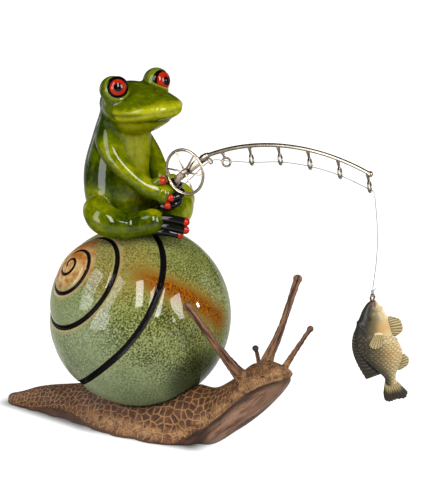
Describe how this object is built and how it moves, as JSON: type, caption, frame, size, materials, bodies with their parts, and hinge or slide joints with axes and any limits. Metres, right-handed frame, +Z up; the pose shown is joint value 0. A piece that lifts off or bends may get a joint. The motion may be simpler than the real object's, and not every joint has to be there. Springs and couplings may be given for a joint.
{
  "type": "frog fishing on a snail figurine",
  "caption": "Glazed frog sitting on a crawling snail's shell, holding a plated rod with a reel wheel, ring guides and a line from which a fish hangs.",
  "frame": {"origin": "on the floor under the centre of the shell, on the flat sole of the snail", "axes": "+X the way the snail crawls and the rod points, +Y to the snail's left, +Z up"},
  "size_m": [0.2239, 0.0909, 0.1817],
  "materials": {
    "snail_skin": "matt brown paint over a cast net of raised veins",
    "shell_glaze": "glossy speckled green glaze with dark spiral lines and a rust-brown band",
    "frog_glaze": "glossy green glaze, yellow-green on the belly and lips",
    "frog_eye": "glossy red with a black pupil and a black ring",
    "rod_plating": "bright warm nickel plating",
    "dowel_steel": "plain steel, not seen",
    "nylon_line": "clear pale monofilament",
    "eyelet_brass": "dull brass wire",
    "fish_paint": "satin paint, olive back and cream scaled belly"
  },
  "bodies": {
    "figure": {"snail_foot": "snail_skin", "eye_stalk_right": "snail_skin", "eye_stalk_left": "snail_skin", "feeler_right": "snail_skin", "feeler_left": "snail_skin", "shell": "shell_glaze", "shell_dowel": "dowel_steel", "frog_body": "frog_glaze", "frog_dowel": "dowel_steel", "eye_right": "frog_eye", "eye_left": "frog_eye", "frog_arm_right": "frog_glaze", "frog_arm_left": "frog_glaze", "rod_handle": "rod_plating", "rod_ferrule": "rod_plating", "rod_blank": "rod_plating", "rod_tip_cap": "rod_plating", "line_guide_1": "rod_plating", "line_guide_2": "rod_plating", "line_guide_3": "rod_plating", "line_guide_4": "rod_plating", "line_guide_5": "rod_plating", "line_guide_6": "rod_plating", "reel_axle": "rod_plating", "line_run": "nylon_line"},
    "reel": {"reel_wheel": "rod_plating"},
    "line_top": {"line_bend": "nylon_line"},
    "line": {"line_drop": "nylon_line"},
    "knot": {"line_knot": "nylon_line"},
    "fish": {"fish_body": "fish_paint", "fish_eyelet": "eyelet_brass"}
  },
  "joints": [
    {"name": "reel_spin", "type": "hinge", "parent": "figure", "child": "reel", "pos_m": [0.02979, 0, 0.13748], "axis": [0, 1, 0], "continuous": true},
    {"name": "line_sway", "type": "hinge", "parent": "figure", "child": "line_top", "pos_m": [0.13376, 0, 0.14629], "axis": [1, 0, 0], "range_deg": [-25, 25]},
    {"name": "line_swing", "type": "hinge", "parent": "line_top", "child": "line", "pos_m": [0.13636, 0, 0.14389], "axis": [0, 1, 0], "range_deg": [-30, 15]},
    {"name": "fish_twist", "type": "hinge", "parent": "line", "child": "knot", "pos_m": [0.13636, 0, 0.09889], "axis": [0, 0, 1], "range_deg": [-180, 180]},
    {"name": "fish_nod", "type": "hinge", "parent": "knot", "child": "fish", "pos_m": [0.13636, 0, 0.09604], "axis": [-0.5878, 0.809, 0], "range_deg": [-20, 20]}
  ]
}
